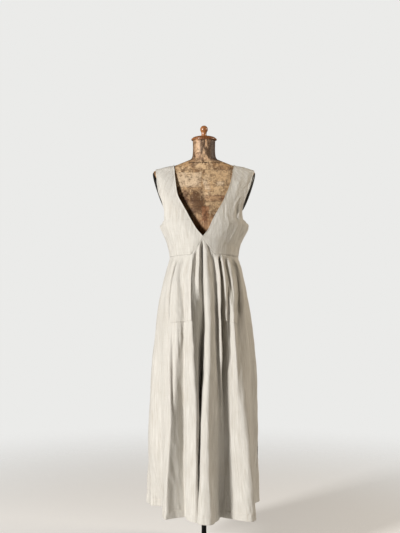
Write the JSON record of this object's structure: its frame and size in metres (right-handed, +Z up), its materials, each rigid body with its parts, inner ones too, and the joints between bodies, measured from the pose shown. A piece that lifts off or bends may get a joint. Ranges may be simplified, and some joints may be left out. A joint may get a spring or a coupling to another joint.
{
  "type": "pinafore dress on a dress form",
  "caption": "Sleeveless linen pinafore dress with a deep V neck, wide straps, a pleated skirt and patch pockets, worn by a limbless dress form on a pole stand.",
  "frame": {"origin": "middle of the round floor plate's underside, on the pole's axis", "axes": "+Z up along the pole, -Y towards the front of the dress, +X to the right as seen from the front"},
  "size_m": [0.4445, 0.5143, 1.6416],
  "materials": {
    "skirt_front": "plain-weave oatmeal linen, matte",
    "skirt_back": "plain-weave oatmeal linen, matte",
    "bodice_front_left": "plain-weave oatmeal linen, matte",
    "bodice_front_right": "plain-weave oatmeal linen, matte",
    "bodice_back_left": "plain-weave oatmeal linen, matte",
    "bodice_back_right": "plain-weave oatmeal linen, matte",
    "pocket_left": "plain-weave oatmeal linen, matte",
    "pocket_right": "plain-weave oatmeal linen, matte",
    "form_body": "aged, patched and varnished papier-mache",
    "form_arm_plate_left": "black gloss paint",
    "form_arm_plate_right": "black gloss paint",
    "form_bottom_board": "bare stained wood",
    "neck_cap": "turned and varnished",
    "cap_knob": "turned and varnished",
    "stand_pole": "black satin paint",
    "stand_base": "black satin paint"
  },
  "bodies": {
    "root": {"skirt_front": "skirt_front", "skirt_back": "skirt_back", "bodice_front_left": "bodice_front_left", "bodice_front_right": "bodice_front_right", "bodice_back_left": "bodice_back_left", "bodice_back_right": "bodice_back_right", "pocket_left": "pocket_left", "pocket_right": "pocket_right", "form_body": "form_body", "form_arm_plate_left": "form_arm_plate_left", "form_arm_plate_right": "form_arm_plate_right", "form_bottom_board": "form_bottom_board", "neck_cap": "neck_cap", "cap_knob": "cap_knob", "stand_pole": "stand_pole", "stand_base": "stand_base"}
  },
  "joints": []
}
